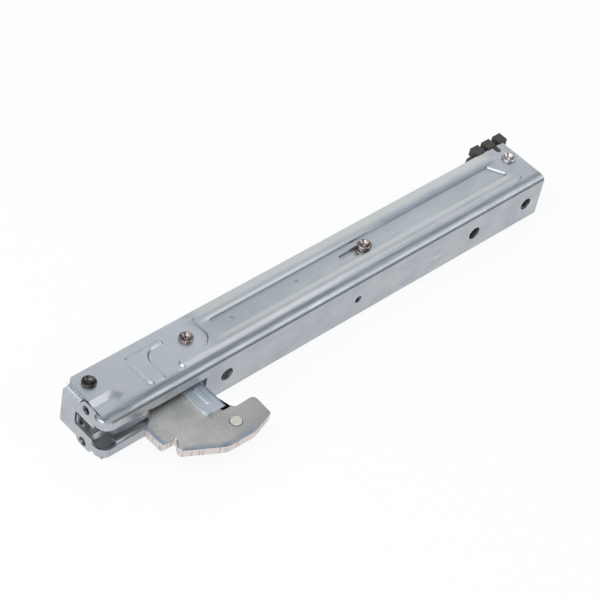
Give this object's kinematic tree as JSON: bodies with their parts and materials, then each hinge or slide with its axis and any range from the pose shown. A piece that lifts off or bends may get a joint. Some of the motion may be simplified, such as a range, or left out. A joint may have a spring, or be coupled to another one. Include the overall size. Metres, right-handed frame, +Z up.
{
  "type": "oven door hinge",
  "caption": "Sprung hinge for a drop-down oven door: a pressed steel channel with a hooked arm, a hold-open latch and a toothed plastic end clip.",
  "frame": {"origin": "under the middle of the whole hinge, in the plane that its lower rivet heads stand on", "axes": "+X along the channel from its slotted end wall to its clip end, +Y from the web to the channel's open side, +Z up through the side walls"},
  "size_m": [0.2854, 0.0698, 0.0302],
  "materials": {
    "galvanised_sheet": "smooth galvanised, satin, pale blue-grey",
    "zinc_plate": "zinc plated, faintly yellow, bright sheared edges",
    "latch_sheet": "zinc-plated strip, pale blue-grey, satin",
    "claw_pin_steel": "flush riveted end, plated",
    "rivet_steel": "dark, worn bright on the rolled edge",
    "turned_steel": "turned, satin",
    "link_strip": "blanked strip, satin",
    "spring_wire": "drawn spring wire",
    "black_plastic": "moulded, matte black"
  },
  "bodies": {
    "channel_body": {"channel": "galvanised_sheet", "end_clip": "black_plastic", "pivot_rivet": "rivet_steel", "pivot_bush_upper": "turned_steel", "pivot_bush_lower": "turned_steel", "roller_rivet": "rivet_steel", "roller_spacer_upper": "turned_steel", "roller_spacer_lower": "turned_steel", "anchor_rivet": "rivet_steel", "anchor_spool": "turned_steel"},
    "arm_body": {"hook_arm": "zinc_plate", "claw_pin": "claw_pin_steel", "link_pin": "rivet_steel", "link_washer_upper": "turned_steel", "link_washer_lower": "turned_steel", "latch_pin": "rivet_steel"},
    "latch_body": {"latch": "latch_sheet"},
    "slider_body": {"slot_pin": "rivet_steel", "slot_spool": "turned_steel", "slot_spacer_upper": "turned_steel", "slot_spacer_lower": "turned_steel", "tension_spring": "spring_wire"},
    "link_body": {"pull_link_upper": "link_strip", "pull_link_lower": "link_strip", "link_tie_rivet": "rivet_steel", "link_tie_sleeve": "turned_steel"},
    "roller_body": {"guide_roller": "turned_steel"}
  },
  "joints": [
    {"name": "door_swing", "type": "hinge", "parent": "channel_body", "child": "arm_body", "pos_m": [-0.1335, 0.02215, 0.01465], "axis": [0, 0, 1], "range_deg": [-90, 0]},
    {"name": "latch_flip", "type": "hinge", "parent": "arm_body", "child": "latch_body", "pos_m": [-0.0909, 0.00265, 0.01465], "axis": [0, 0, 1], "range_deg": [0, 8]},
    {"name": "spring_stretch", "type": "slide", "parent": "channel_body", "child": "slider_body", "axis": [1, 0, 0], "range_m": [-0.0128, 0], "stiffness_N_per_m": 1500, "springref_m": 0.012, "deforming": ["tension_spring"]},
    {"name": "link_tilt", "type": "hinge", "parent": "slider_body", "child": "link_body", "pos_m": [0.0273, 0.01495, 0.01465], "axis": [0, 0, 1], "range_deg": [0, 2.27]},
    {"name": "roller_spin", "type": "hinge", "parent": "channel_body", "child": "roller_body", "pos_m": [-0.0813, 0.01785, 0.01465], "axis": [0, 0, 1], "range_deg": [-198.3, 0]}
  ],
  "couplings": [
    {"joint": "spring_stretch", "follows": "door_swing", "m_per_rad": 0.0081487},
    {"joint": "link_tilt", "follows": "door_swing", "ratio": -0.02523},
    {"joint": "roller_spin", "follows": "door_swing", "ratio": 2.2024}
  ]
}
